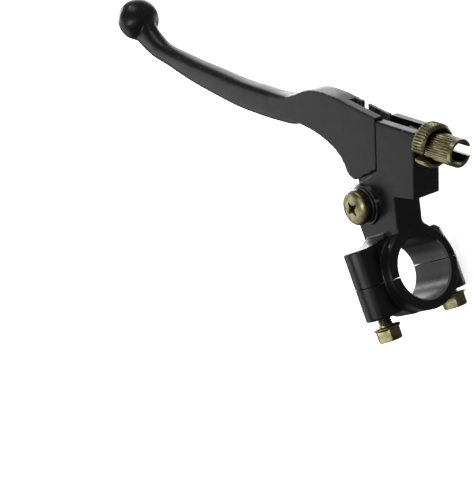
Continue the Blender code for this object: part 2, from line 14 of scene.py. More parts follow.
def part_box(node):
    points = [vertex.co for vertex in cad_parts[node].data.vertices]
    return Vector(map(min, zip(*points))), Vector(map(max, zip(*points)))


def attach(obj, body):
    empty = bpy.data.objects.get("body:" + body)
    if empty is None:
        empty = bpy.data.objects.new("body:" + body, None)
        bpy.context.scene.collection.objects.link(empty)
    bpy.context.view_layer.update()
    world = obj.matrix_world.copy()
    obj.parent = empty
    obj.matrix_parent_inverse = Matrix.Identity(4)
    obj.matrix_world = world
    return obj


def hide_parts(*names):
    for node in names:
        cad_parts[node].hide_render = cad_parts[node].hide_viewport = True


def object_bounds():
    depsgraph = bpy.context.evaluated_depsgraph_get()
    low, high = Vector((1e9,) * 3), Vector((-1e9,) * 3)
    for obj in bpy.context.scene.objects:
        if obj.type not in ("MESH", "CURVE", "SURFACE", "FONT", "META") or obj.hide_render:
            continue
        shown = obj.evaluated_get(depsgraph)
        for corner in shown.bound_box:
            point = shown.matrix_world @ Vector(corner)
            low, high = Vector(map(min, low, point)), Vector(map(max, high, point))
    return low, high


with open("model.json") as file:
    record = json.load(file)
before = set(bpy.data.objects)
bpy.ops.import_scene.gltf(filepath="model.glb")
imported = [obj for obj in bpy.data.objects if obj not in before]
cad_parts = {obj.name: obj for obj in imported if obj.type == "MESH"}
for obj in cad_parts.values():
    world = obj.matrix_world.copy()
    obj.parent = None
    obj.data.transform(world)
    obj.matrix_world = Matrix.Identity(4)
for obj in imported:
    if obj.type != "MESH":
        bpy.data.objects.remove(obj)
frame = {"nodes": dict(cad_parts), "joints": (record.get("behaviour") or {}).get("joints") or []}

CAD_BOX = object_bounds()

bl_info = {
    "name": "Clutch Lever",
    "version": (1, 0, 0),
    "blender": (4, 5, 0),
    "location": "View3D > Sidebar > Clutch Lever",
    "description": "Models a ball-end clutch lever with its perch, clamp and cable adjuster",
    "category": "Object",
}

MM = 0.001
UP = Vector((0.0, 0.0, 1.0))
RIGHT = Vector((1.0, 0.0, 0.0))
FORWARD = Vector((0.0, 1.0, 0.0))

# Axes and faces that the frame gives
JOINTS = {joint["name"]: joint for joint in frame["joints"]}
PIVOT = Vector(JOINTS["lever_pivot"]["pos_m"])
ALONG = Vector(JOINTS["adjuster_turn"]["axis"]).normalized()
AHEAD = UP.cross(ALONG)
CABLE = Vector(JOINTS["adjuster_turn"]["pos_m"])
CABLE_F = CABLE.dot(AHEAD)
CABLE_LINE = AHEAD * CABLE_F + UP * CABLE.z
PERCH_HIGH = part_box("perch_body")[1]
CAP_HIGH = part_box("clamp_cap")[1]
SCREW_LOW, SCREW_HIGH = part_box("pivot_screw")
WASHER_LOW, WASHER_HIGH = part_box("pivot_washer")
NUT_LOW, NUT_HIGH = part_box("pivot_nut")
LEVER_LOW, LEVER_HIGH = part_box("lever_blade")
BOLT_BOXES = {1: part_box("clamp_bolt_upper"), -1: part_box("clamp_bolt_lower")}
BOLT_X = (BOLT_BOXES[1][0].x + BOLT_BOXES[1][1].x) / 2
BOLT_Z = {side: (low.z + high.z) / 2 for side, (low, high) in BOLT_BOXES.items()}

# Perch and clamp
RING_HALF_WIDTH = 10.0 * MM
RING_RADIUS = 15.0 * MM
BOSS_RADIUS = PERCH_HIGH.z - BOLT_Z[1]
BOSS_TOP = {1: 12.9 * MM, -1: 12.0 * MM}
BOSS_TAPER = 0.22                   # how fast the upper boss below the bar narrows
BOSS_ROUNDING = 1.6 * MM            # and the rounding at its top
BOSS_BOTTOM = -12.0 * MM
PAST_SPLIT = 3.0 * MM               # each half runs on this far before the split cuts it
WEB_BOTTOM = -11.85 * MM
WEB_INSET = 0.6 * MM                # how far the web stays inside the bosses
WEB_SHOULDER = (0.4, 0.965)         # over the bolts' height and over the ring's radius
TAPERED_WEB_END = (-13.6 * MM, 10.6 * MM)
DRAWN_UP = 0.3 * MM                 # the cap sits this much closer than its solid does
FLANGE_ROOM = 5.5 * MM              # the web stays clear of a bolt's flange this far out
BOLT_HOLE_RADIUS = 2.8 * MM
BOLT_HOLE_END = {1: 11.8 * MM, -1: 8.0 * MM}
FACE_TOP = 5.6 * MM
FACE_BOTTOM = -6.0 * MM
SLOT_TOP = 2.1 * MM
SLOT_BOTTOM = -2.9 * MM
JOINT_A = -8.1 * MM
REAR_JOINT_A = -9.9 * MM            # the cheek under the lever reaches further
BLOCK_FACE_A = 10.3 * MM
BLOCK_TOP_F = 54.6 * MM
BLOCK_FOOT_F = 31.1 * MM
JOINT_FOOT_F = 36.6 * MM
FOOT_LINE_SLOPE = 0.688             # from the joint's foot back to the pivot's cheek
CHEEK_RADIUS = 7.9 * MM
NECK_FOOT_Y = 8.0 * MM              # the neck and the saddles start inside the ring
PAD_RADIUS = 7.35 * MM
PAD_TOP_RADIUS = 7.0 * MM
PAD_HEIGHT = 1.2 * MM
PAD_LIP = 0.15 * MM                 # how far a pad's foot spreads
PAD_ROOT = 1.0 * MM                 # how deep it is sunk into its face
SCREW_HOLE_RADIUS = 3.25 * MM
STEM_HOLE = (-1.1 * MM, 15.0 * MM)  # from and to, along the cable line
STEM_HOLE_RADIUS = 4.15 * MM

# Lever
LEVER_TOP = 5.6 * MM
LEVER_BOTTOM = -2.4 * MM
TONGUE_TOP = 1.8 * MM
TONGUE_BOTTOM = -2.6 * MM
LEVER_MIDDLE = (LEVER_TOP + LEVER_BOTTOM) / 2
JOINT_GAP = 0.4 * MM
TONGUE_RADIUS = 6.6 * MM
TONGUE_ROOM = 1.0 * MM
BUSH_HOLE_RADIUS = 4.75 * MM
POCKET_A = -20.8 * MM
POCKET_TOP = 3.2 * MM
POCKET_RADIUS = 4.2 * MM
CABLE_SLOT = (-1.0 * MM, 2.0 * MM)
SLIT_LOW = (-1.7 * MM, 0.0, -7.0 * MM)
SLIT_HIGH = (1.7 * MM, 14.0 * MM, 1.0 * MM)

# Adjuster, measured along the cable line
RING_START_A = 10.6 * MM
RING_END_A = 16.0 * MM
BARREL_START_A = 13.2 * MM
BARREL_END_A = 26.0 * MM
THREAD_START_A = 2.0 * MM
SOCKET_FLOOR_A = 15.5 * MM

REACH = 40.0 * MM                   # longer than any wall that a cutter passes
PAST_FACE = 5.0 * MM                # how far a cutter runs on past a face that it opens
ROUND_SIDES = 96                    # sides of a rod, a pad or a washer
SAME_PLACE = 1e-7                   # points closer than this, in metres, are one


# ---------------------------------------------------------------- sizes and colours

def length(name, description, default):
    return bpy.props.FloatProperty(
        name=name, description=description, default=default, min=0.0, unit="LENGTH", precision=5
    )


def colour(name, description, default):
    return bpy.props.FloatVectorProperty(
        name=name, description=description, default=default, min=0.0, max=1.0, size=3, subtype="COLOR"
    )


class ClutchLeverSizes(bpy.types.PropertyGroup):
    bar_radius: length("Bar radius", "Radius of the handlebar the clamp fits", 11.1 * MM)
    ball_radius: length("Ball radius", "Radius of the lever's ball end", 8.75 * MM)
    skin: length("Skin", "Size of the facets that the cast skins are made of", 0.36 * MM)
    lever_skin: length("Lever skin", "Size of the facets of the lever's skin", 0.40 * MM)
    bore_chamfer: length("Bore chamfer", "Chamfer at the ends of the clamp's bore", 0.45 * MM)
    head_radius: length("Screw head", "Radius of the pivot screw's pan head", 6.25 * MM)
    recess_depth: length("Recess depth", "Depth of the cross recess in the screw", 2.6 * MM)
    lock_ring_radius: length("Lock ring", "Outer radius of the knurled lock ring", 7.5 * MM)
    barrel_radius: length("Barrel", "Outer radius of the adjuster's barrel", 4.8 * MM)
    knurl_depth: length("Knurl depth", "Depth of the barrel's straight knurl", 0.30 * MM)
    ring_knurl_depth: length("Ring knurl depth", "Depth of the lock ring's knurl", 0.50 * MM)
    barrel_teeth: bpy.props.IntProperty(name="Barrel teeth", default=30, min=12, max=60,
                                        description="Ridges round the barrel")
    ring_teeth: bpy.props.IntProperty(name="Ring teeth", default=42, min=12, max=80,
                                      description="Ridges round the lock ring")


class ClutchLeverColours(bpy.types.PropertyGroup):
    casting: colour("Casting", "Satin black paint of the perch and cap", (0.0034, 0.0034, 0.0037))
    casting_dust: colour("Casting dust", "Lighter patches in that paint", (0.0052, 0.0052, 0.0056))
    lever: colour("Lever", "Satin black paint of the lever", (0.0040, 0.0040, 0.0043))
    lever_dust: colour("Lever dust", "Lighter patches in the lever's paint", (0.0060, 0.0060, 0.0064))
    # Serves a fine random speckle, and also a painted highlight that lightens the outer edges.
    edge_highlight_and_speckle: colour("Worn edge", "Paint rubbed thin along the edges", (0.06, 0.06, 0.06))
    zinc: colour("Zinc", "Olive zinc plating", (0.105, 0.093, 0.045))
    zinc_light: colour("Zinc light", "Paler patches in the plating", (0.20, 0.18, 0.105))
    # Serves real stains in random patches, and also painted shade that darkens the hollows and
    # recesses.
    zinc_stain_and_hollow_shade: colour("Zinc dark", "Stains in the plating's hollows", (0.022, 0.019, 0.009))
    washer: colour("Washer", "Blackened washer", (0.008, 0.008, 0.008))
    steel: colour("Steel", "Plain turned steel of the bush", (0.50, 0.49, 0.47))
    floor: colour("Floor", "Pale studio floor", (0.93, 0.93, 0.93))


def sizes():
    return bpy.context.scene.clutch_lever_sizes


def colours():
    return bpy.context.scene.clutch_lever_colours


# ---------------------------------------------------------------- modelling helpers

def deselect():
    bpy.ops.object.select_all(action="DESELECT")


def pick(piece):
    deselect()
    piece.select_set(True)
    bpy.context.view_layer.objects.active = piece


def named(name):
    """The piece just added or joined, under its own name."""
    piece = bpy.context.view_layer.objects.active
    piece.name = name
    piece.data.name = name
    return piece


def settled(piece):
    """Puts the piece's place into its mesh and its object back at the origin."""
    pick(piece)
    bpy.ops.object.transform_apply(location=True, rotation=True, scale=True)
    return piece


def stand(piece, point, x_axis, z_axis):
    """Moves a piece made about the origin so that its X and Z lie along these axes."""
    turn = Matrix((x_axis, z_axis.cross(x_axis), z_axis)).transposed().to_4x4()
    piece.matrix_world = Matrix.Translation(point) @ turn
    return settled(piece)


def edit(piece, *steps):
    """Runs edit-mode steps on the whole mesh, each an operator with its settings."""
    pick(piece)
    bpy.ops.object.mode_set(mode="EDIT")
    for operator, settings in steps:
        bpy.ops.mesh.select_all(action="SELECT")
        operator(**settings)
    bpy.ops.object.mode_set(mode="OBJECT")
    return piece


def weld_and_face_out(piece):
    return edit(
        piece,
        (bpy.ops.mesh.remove_doubles, {"threshold": SAME_PLACE}),
        (bpy.ops.mesh.delete_loose, {}),
        (bpy.ops.mesh.normals_make_consistent, {"inside": False}),
    )


def rod(name, start, end, radius, end_radius=None):
    start, end = Vector(start), Vector(end)
    deselect()
    bpy.ops.mesh.primitive_cone_add(
        vertices=ROUND_SIDES,
        radius1=radius,
        radius2=radius if end_radius is None else end_radius,
        depth=(end - start).length,
        location=(start + end) / 2,
        rotation=(end - start).to_track_quat("Z", "Y").to_euler(),
    )
    return settled(named(name))


def block(name, low, high):
    low, high = Vector(low), Vector(high)
    deselect()
    bpy.ops.mesh.primitive_cube_add(size=1.0, location=(low + high) / 2)
    piece = named(name)
    piece.scale = high - low
    return settled(piece)


def outline_face(name, places):
    """A flat face with its corners at the given places."""
    deselect()
    bpy.ops.mesh.primitive_circle_add(vertices=len(places), fill_type="NGON")
    piece = named(name)
    for vertex, place in zip(piece.data.vertices, places):
        vertex.co = place
    return piece


def extruded(piece, travel):
    extrude = {"TRANSFORM_OT_translate": {"value": travel}}
    edit(piece, (bpy.ops.mesh.extrude_region_move, extrude))
    return weld_and_face_out(piece)


def plate(name, outline, low, high):
    """An outline in plan, extruded from low to high."""
    return extruded(outline_face(name, [(x, y, low) for x, y in outline]), (0, 0, high - low))


def side_plate(name, outline, low, high):
    """An outline of (z, y) points seen along X, extruded from low to high."""
    return extruded(outline_face(name, [(low, y, z) for z, y in outline]), (high - low, 0, 0))


def turned(name, profile, segments):
    """A profile of (radius, height) points spun about Z into a closed solid or a wall."""
    deselect()
    bpy.ops.mesh.primitive_circle_add(vertices=len(profile))
    piece = named(name)
    for vertex, (radius, height) in zip(piece.data.vertices, profile):
        vertex.co = (radius, 0.0, height)
    spin = {"steps": segments, "angle": math.tau, "center": (0, 0, 0), "axis": (0, 0, 1)}
    edit(piece, (bpy.ops.mesh.spin, spin))
    return weld_and_face_out(piece)


def reshape_radius(piece, new_radius):
    """Moves each point in or out from Z: new_radius takes its radius, height and angle."""
    for vertex in piece.data.vertices:
        x, y, z = vertex.co
        radius = math.hypot(x, y)
        if radius > 1e-6:
            scale = new_radius(radius, z, math.atan2(y, x)) / radius
            vertex.co = (x * scale, y * scale, z)
    return piece


def apply_modifier(piece, modifier):
    pick(piece)
    bpy.ops.object.modifier_apply(modifier=modifier.name)


def combine(piece, other, operation, solver="EXACT"):
    modifier = piece.modifiers.new(operation.title(), "BOOLEAN")
    modifier.operation = operation
    modifier.solver = solver
    modifier.object = other
    apply_modifier(piece, modifier)
    bpy.data.objects.remove(other)
    if not piece.data.polygons:
        raise RuntimeError(piece.name + " lost its mesh in a " + operation.lower())
    return piece


def carve(piece, *cutters):
    for cutter in cutters:
        combine(piece, cutter, "DIFFERENCE", "MANIFOLD")
    return piece


def joined(name, forms):
    deselect()
    for form in forms:
        form.select_set(True)
    bpy.context.view_layer.objects.active = forms[0]
    bpy.ops.object.join()
    return named(name)


def cast(name, forms, facet, rounds):
    """Overlapping forms grown into one skin and eased, which leaves a casting's fillets."""
    piece = joined(name, forms)
    skin = piece.modifiers.new("Skin", "REMESH")
    skin.mode = "VOXEL"
    skin.voxel_size = facet
    apply_modifier(piece, skin)
    ease(piece, rounds)
    return piece


def ease(piece, rounds, group=""):
    fillets = piece.modifiers.new("Fillets", "SMOOTH")
    fillets.factor = 0.5
    fillets.iterations = rounds
    fillets.vertex_group = group
    apply_modifier(piece, fillets)


def finished(piece, body, nodes, finish, sharp=38.0):
    """Shades the piece, gives it its finish, and hangs it on its body in the frame."""
    pick(piece)
    bpy.ops.object.shade_smooth_by_angle(angle=math.radians(sharp))
    piece.data.materials.clear()
    piece.data.materials.append(finish)
    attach(piece, body)
    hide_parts(*nodes)
    return piece


def arc(centre, radius, start, end, steps):
    """Points on an arc in plan, with its ends in degrees."""
    angles = [math.radians(start + (end - start) * i / steps) for i in range(steps + 1)]
    return [(centre[0] + radius * math.cos(t), centre[1] + radius * math.sin(t)) for t in angles]


def on_block(a, f):
    """A plan point from its distance along the cable line and ahead of the bar."""
    point = ALONG * a + AHEAD * f
    return point.x, point.y


def through(points, steps):
    """A smooth run through the points, with each as long a curve as its neighbours allow."""
    ends = [points[0]] + list(points) + [points[-1]]
    run = []
    for before, start, end, after in zip(ends, ends[1:], ends[2:], ends[3:]):
        for i in range(steps):
            t = i / steps
            weights = (
                (-t + 2 * t ** 2 - t ** 3) / 2,
                (2 - 5 * t ** 2 + 3 * t ** 3) / 2,
                (t + 4 * t ** 2 - 3 * t ** 3) / 2,
                (t ** 3 - t ** 2) / 2,
            )
            knots = (before, start, end, after)
            run.append(tuple(
                sum(w * knot[axis] for w, knot in zip(weights, knots))
                for axis in range(len(start))
            ))
    run.append(tuple(points[-1]))
    return run


def wave(turns):
    """A triangle wave from 0 to 1 and back, once a turn."""
    part = turns % 1.0
    return 1.0 - abs(2.0 * part - 1.0)


# ---------------------------------------------------------------- finishes

class Finish:
    """A node material being built: its tree, its shader and the piece's own coordinates."""

    def __init__(self, name):
        self.material = bpy.data.materials.new(name)
        self.material.use_nodes = True
        self.tree = self.material.node_tree
        self.shader = self.tree.nodes["Principled BSDF"]
        self.coords = self.tree.nodes.new("ShaderNodeTexCoord").outputs["Object"]

    def link(self, source, target):
        self.tree.links.new(source, target)

    def noise(self, scale, detail=3.0, stretch=(1.0, 1.0, 1.0)):
        mapping = self.tree.nodes.new("ShaderNodeMapping")
        mapping.inputs["Scale"].default_value = stretch
        self.link(self.coords, mapping.inputs["Vector"])
        noise = self.tree.nodes.new("ShaderNodeTexNoise")
        noise.inputs["Scale"].default_value = scale
        noise.inputs["Detail"].default_value = detail
        self.link(mapping.outputs["Vector"], noise.inputs["Vector"])
        return noise.outputs["Fac"]

    def spread(self, source, low, high, from_low=0.35, from_high=0.65):
        node = self.tree.nodes.new("ShaderNodeMapRange")
        node.inputs["From Min"].default_value = from_low
        node.inputs["From Max"].default_value = from_high
        node.inputs["To Min"].default_value = low
        node.inputs["To Max"].default_value = high
        self.link(source, node.inputs["Value"])
        return node.outputs["Result"]

    def mixed(self, factor, first, second):
        node = self.tree.nodes.new("ShaderNodeMix")
        node.data_type = "RGBA"
        self.link(factor, node.inputs["Factor"])
        sockets = [s for s in node.inputs if s.type == "RGBA"]
        for socket, value in zip(sockets, (first, second)):
            if isinstance(value, bpy.types.NodeSocket):
                self.link(value, socket)
            else:
                socket.default_value = (*value, 1.0)
        return [s for s in node.outputs if s.type == "RGBA"][0]

    def edges(self, low, high):
        """High along outer edges and low elsewhere."""
        pointed = self.tree.nodes.new("ShaderNodeNewGeometry").outputs["Pointiness"]
        return self.spread(pointed, 0.0, 1.0, low, high)

    def bump(self, source, strength, height, under=None):
        node = self.tree.nodes.new("ShaderNodeBump")
        node.inputs["Strength"].default_value = strength
        node.inputs["Distance"].default_value = height
        self.link(source, node.inputs["Height"])
        if under is not None:
            self.link(under, node.inputs["Normal"])
        return node.outputs["Normal"]


PAINT_ROUGHNESS = (0.27, 0.35)
PAINT_SPECULAR = 0.10


def satin_paint(name, paint, dust):
    """Sprayed satin black: a fine orange peel, faint dust and speckle, and a painted highlight
    lightening the edges.
    """
    finish = Finish(name)
    shader = finish.shader
    clouds = finish.spread(finish.noise(90.0, 4.0), 0.0, 1.0)
    body = finish.mixed(clouds, paint, dust)
    speckle = finish.spread(finish.noise(2600.0, 2.0), 0.0, 0.12, 0.62, 0.78)
    body = finish.mixed(speckle, body, colours().edge_highlight_and_speckle)
    # Painted highlight: the paint is lightened along the outer edges, where light catches them.
    painted_edge_highlight = finish.edges(0.56, 0.72)
    finish.link(finish.mixed(painted_edge_highlight, body, colours().edge_highlight_and_speckle), shader.inputs["Base Color"])
    roughness = finish.spread(finish.noise(240.0, 3.0), *PAINT_ROUGHNESS)
    finish.link(roughness, shader.inputs["Roughness"])
    peel = finish.bump(finish.noise(1500.0, 2.0), 0.10, 0.05 * MM)
    grain = finish.bump(finish.noise(5200.0, 1.0), 0.05, 0.02 * MM, peel)
    finish.link(grain, shader.inputs["Normal"])
    shader.inputs["Specular IOR Level"].default_value = PAINT_SPECULAR
    return finish.material


def plated_zinc(name):
    """Olive passivated zinc: cloudy colour, stains, and painted shade that darkens its hollows."""
    finish = Finish(name)
    shader = finish.shader
    clouds = finish.spread(finish.noise(420.0, 4.0), 0.0, 1.0, 0.38, 0.66)
    body = finish.mixed(clouds, colours().zinc, colours().zinc_light)
    stains = finish.spread(finish.noise(160.0, 5.0), 0.0, 0.55, 0.52, 0.72)
    body = finish.mixed(stains, body, colours().zinc_stain_and_hollow_shade)
    # Painted shade: the plating is darkened in hollows and recesses, such as the screw's cross
    # recess.
    hollows = finish.edges(0.49, 0.40)
    body = finish.mixed(hollows, body, colours().zinc_stain_and_hollow_shade)
    finish.link(body, shader.inputs["Base Color"])
    roughness = finish.spread(finish.noise(700.0, 3.0), 0.30, 0.44)
    finish.link(roughness, shader.inputs["Roughness"])
    finish.link(finish.bump(finish.noise(2400.0, 3.0), 0.16, 0.03 * MM), shader.inputs["Normal"])
    shader.inputs["Metallic"].default_value = 1.0
    return finish.material


def plain_finish(name, tint, metallic, low, high):
    """A turned surface with fine marks across it."""
    finish = Finish(name)
    shader = finish.shader
    marks = finish.noise(900.0, 3.0, (1.0, 1.0, 6.0))
    darker = tuple(part * 0.7 for part in tint)
    shade = finish.mixed(finish.spread(marks, 0.0, 1.0), tint, darker)
    finish.link(shade, shader.inputs["Base Color"])
    finish.link(finish.spread(marks, low, high), shader.inputs["Roughness"])
    finish.link(finish.bump(marks, 0.12, 0.03 * MM), shader.inputs["Normal"])
    shader.inputs["Metallic"].default_value = metallic
    return finish.material


FINISHES = {}


def make_finishes():
    c = colours()
    FINISHES["casting"] = satin_paint("casting_paint", c.casting, c.casting_dust)
    FINISHES["lever"] = satin_paint("lever_paint", c.lever, c.lever_dust)
    FINISHES["zinc"] = plated_zinc("olive_zinc_plate")
    FINISHES["washer"] = plain_finish("blackened_washer", c.washer, 0.0, 0.30, 0.42)
    FINISHES["steel"] = plain_finish("turned_steel", c.steel, 1.0, 0.24, 0.36)


# ---------------------------------------------------------------- castings

def web_outline(sign, past):
    """One half's web seen along the bar, from the bolt below the bar to the one above."""
    if sign > 0:
        below_bar = [(TAPERED_WEB_END[0], past), TAPERED_WEB_END]
        above_bar = [(BOLT_Z[1], BOSS_TOP[1] - 0.2 * MM)]
    else:
        below_bar = [
            (BOLT_Z[-1], past),
            (BOLT_Z[-1], WEB_BOTTOM),
            (BOLT_Z[-1] + FLANGE_ROOM, WEB_BOTTOM),
        ]
        above_bar = [(BOLT_Z[1] - FLANGE_ROOM, WEB_BOTTOM), (BOLT_Z[1], WEB_BOTTOM)]
    inward, outward = WEB_SHOULDER
    shoulders = [(BOLT_Z[side] * inward, sign * RING_RADIUS * outward) for side in (-1, 1)]
    return [*below_bar, *shoulders, *above_bar, (BOLT_Z[1], past)]


def clamp_forms(sign):
    """The ring, web and two bolt bosses of one half of the clamp."""
    tops = BOSS_TOP if sign > 0 else {1: BOSS_BOTTOM, -1: BOSS_BOTTOM}
    past = -sign * PAST_SPLIT
    web_half = BOSS_RADIUS - WEB_INSET
    forms = [
        rod("ring", (-RING_HALF_WIDTH, 0, 0), (RING_HALF_WIDTH, 0, 0), RING_RADIUS),
        side_plate("web", web_outline(sign, past), BOLT_X - web_half, BOLT_X + web_half),
    ]
    for side in (-1, 1):
        foot = (BOLT_X, past, BOLT_Z[side])
        top = (BOLT_X, tops[side], BOLT_Z[side])
        if side < 0 < sign:
            shoulder = (BOLT_X, tops[side] - BOSS_ROUNDING, BOLT_Z[side])
            narrow = BOSS_RADIUS - BOSS_TAPER * shoulder[1]
            forms.append(rod("boss", foot, shoulder, BOSS_RADIUS - BOSS_TAPER * past, narrow))
            forms.append(rod("dome", shoulder, top, narrow, narrow - BOSS_ROUNDING))
        else:
            forms.append(rod("boss", foot, top, BOSS_RADIUS))
    return forms


def split_waste(sign):
    """What lies on the far side of the clamp's split."""
    near, far = (0.0, -REACH) if sign > 0 else (CAP_HIGH.y + DRAWN_UP, REACH)
    return block("waste", (-REACH, min(near, far), -REACH), (REACH, max(near, far), REACH))


def bore_cutter():
    """The bar's bore with a small chamfer at each end."""
    radius, chamfer = sizes().bar_radius, sizes().bore_chamfer
    end = RING_HALF_WIDTH
    profile = [
        (0.0, REACH),
        (radius + chamfer, REACH),
        (radius + chamfer, end),
        (radius, end - chamfer),
        (radius, chamfer - end),
        (radius + chamfer, -end),
        (radius + chamfer, -REACH),
        (0.0, -REACH),
    ]
    return stand(turned("bore", profile, 128), Vector((0, 0, 0)), FORWARD, RIGHT)


def foot_line_f(a):
    """How far ahead the joint's foot line lies, where it is a along the cable line."""
    return JOINT_FOOT_F + FOOT_LINE_SLOPE * (a - JOINT_A)


def neck_form():
    """The neck, the pivot's cheek and the block, as far as the rear cheek reaches."""
    outline = [
        (-10.2 * MM, NECK_FOOT_Y),
        *arc(PIVOT, CHEEK_RADIUS, 180.0, 102.0, 14),
        on_block(REAR_JOINT_A, foot_line_f(REAR_JOINT_A)),
        on_block(REAR_JOINT_A, BLOCK_TOP_F),
        on_block(BLOCK_FACE_A, BLOCK_TOP_F),
        on_block(BLOCK_FACE_A, BLOCK_FOOT_F),
        (13.6 * MM, 26.0 * MM),
        (9.85 * MM, 15.2 * MM),
        (9.85 * MM, NECK_FOOT_Y),
    ]
    return plate("neck", outline, FACE_BOTTOM, FACE_TOP)


def saddle_forms():
    """What fills the corners between the neck and the ring, above and below the bar."""
    above_bar = [
        (3.0 * MM, 16.5 * MM),
        (6.5 * MM, 15.0 * MM),
        (11.0 * MM, 12.6 * MM),
        (11.0 * MM, NECK_FOOT_Y),
        (3.0 * MM, NECK_FOOT_Y),
    ]
    hollow, hollow_radius = (-9.3 * MM, 16.2 * MM), 3.3 * MM
    below_bar = [
        (-3.0 * MM, NECK_FOOT_Y),
        (-3.0 * MM, hollow[1]),
        *arc(hollow, hollow_radius, 0.0, -62.0, 8),
        (-9.0 * MM, NECK_FOOT_Y),
    ]
    return [
        side_plate("saddle_above", above_bar, -8.5 * MM, 4.0 * MM),
        side_plate("saddle_below", below_bar, -9.5 * MM, 9.7 * MM),
    ]


def front_step():
    """What the front cheek lacks of the rear one, on the lever's side of the joint."""
    far_a = JOINT_A - 4.0 * MM
    outline = [
        on_block(JOINT_A, JOINT_FOOT_F),
        on_block(JOINT_A, BLOCK_TOP_F + PAST_FACE),
        on_block(far_a, BLOCK_TOP_F + PAST_FACE),
        on_block(far_a, foot_line_f(far_a) + 0.3 * MM),
    ]
    return plate("front_step", outline, 0.0, REACH)


def pad_forms():
    """A crisp turned pad on each face round the pivot, left out of the cast skin."""
    edge = 0.12 * MM
    profile = [
        (0.0, PAD_HEIGHT),
        (PAD_TOP_RADIUS, PAD_HEIGHT),
        (PAD_TOP_RADIUS + edge, PAD_HEIGHT - edge),
        (PAD_RADIUS, PAD_LIP),
        (PAD_RADIUS + PAD_LIP, 0.0),
        (PAD_RADIUS + PAD_LIP, -PAD_ROOT),
        (0.0, -PAD_ROOT),
    ]
    return [
        stand(turned("pad", profile, ROUND_SIDES), PIVOT + UP * face, RIGHT, UP * side)
        for side, face in ((-1, FACE_BOTTOM), (1, FACE_TOP))
    ]


def bolt_hole(side, end):
    """A cutter for one bolt's hole, up from below the cap to the given height."""
    foot = (BOLT_X, -REACH, BOLT_Z[side])
    return rod("bolt_hole", foot, (BOLT_X, end, BOLT_Z[side]), BOLT_HOLE_RADIUS)


def make_perch():
    forms = [*clamp_forms(1), neck_form(), *saddle_forms()]
    perch = cast("perch_casting", forms, sizes().skin, 7)
    for pad in pad_forms():
        combine(perch, pad, "UNION", "MANIFOLD")
    behind_tongue = arc(PIVOT, TONGUE_RADIUS + TONGUE_ROOM, -90.0, 0.0, 10)
    slot_foot_f = CABLE_F - 3.0 * MM
    slot_outline = [
        (PIVOT.x - REACH, behind_tongue[0][1]),
        *behind_tongue,
        on_block(-0.5 * MM, 37.0 * MM),
        on_block(1.5 * MM, slot_foot_f),
        on_block(BLOCK_FACE_A + PAST_FACE, slot_foot_f),
        on_block(BLOCK_FACE_A + PAST_FACE, BLOCK_TOP_F + PAST_FACE),
        on_block(-REACH, BLOCK_TOP_F + PAST_FACE),
    ]
    stem_start, stem_end = [CABLE_LINE + ALONG * a for a in STEM_HOLE]
    carve(
        perch,
        split_waste(1),
        bore_cutter(),
        plate("tongue_slot", slot_outline, SLOT_BOTTOM, SLOT_TOP),
        front_step(),
        rod("stem_hole", stem_start, stem_end, STEM_HOLE_RADIUS),
        rod("screw_hole", PIVOT - UP * REACH, PIVOT + UP * REACH, SCREW_HOLE_RADIUS),
        *[bolt_hole(side, BOLT_HOLE_END[side]) for side in (1, -1)],
    )
    finished(perch, "perch", ["perch_body"], FINISHES["casting"])


def make_cap():
    cap = cast("cap_casting", clamp_forms(-1), sizes().skin, 7)
    carve(cap, split_waste(-1), bore_cutter(), bolt_hole(-1, REACH), bolt_hole(1, REACH))
    finished(cap, "cap", ["clamp_cap"], FINISHES["casting"])


# Plan of the lever's head in millimetres, from the nose over the joint round to the heel
HEAD_FRONT = [(4.6, 62.2), (-2.9, 67.3), (-13.0, 71.9), (-26.2, 73.1), (-36.0, 75.6)]
HEAD_BACK = [(-40.0, 69.4), (-24.2, 61.8), (-14.2, 54.4), (-8.0, 46.4), (-6.7, 39.0), (-4.2, 36.0)]

# Centre line of the blade in millimetres, from the head to the ball, with its half width
BLADE_LINE = [
    (-17.0, 66.5, 4.6),
    (-26.9, 67.8, 5.5),
    (-35.4, 71.0, 5.4),
    (-44.3, 75.3, 5.5),
    (-57.8, 82.4, 5.5),
    (-71.2, 90.7, 5.3),
    (-85.1, 99.7, 4.9),
    (-99.5, 109.9, 4.4),
    (-106.2, 115.6, 4.9),
    (-111.0, 121.8, 5.9),
    (-113.6, 127.2, 7.0),
]
BLADE_FLATNESS = 0.82               # blade height over blade width
BLADE_HALF_HEIGHT = 4.0 * MM        # the blade's faces run on from the head's
BLADE_SQUARENESS = (2.2, 5.2)       # by the ball and by the head; 2 is an ellipse
BLADE_ENDS = (-100.0, -36.0)        # where along X the one starts to turn into the other
BLADE_SIDES = 40
EASED_FROM_X = -22.0 * MM           # the blade's skin is eased from here on,
EASED_OVER = 16.0 * MM              # fully once this much further out,
BALL_NECK_Y = 124.0 * MM            # and not past here, so that the ball keeps its size


def squared(part, x):
    """A circle's sine or cosine, pushed outwards to square the blade off at x."""
    start, end = BLADE_ENDS
    share = min(max((x - start) / (end - start), 0.0), 1.0)
    low, high = BLADE_SQUARENESS
    return math.copysign(abs(part) ** (2.0 / (low + (high - low) * share)), part)


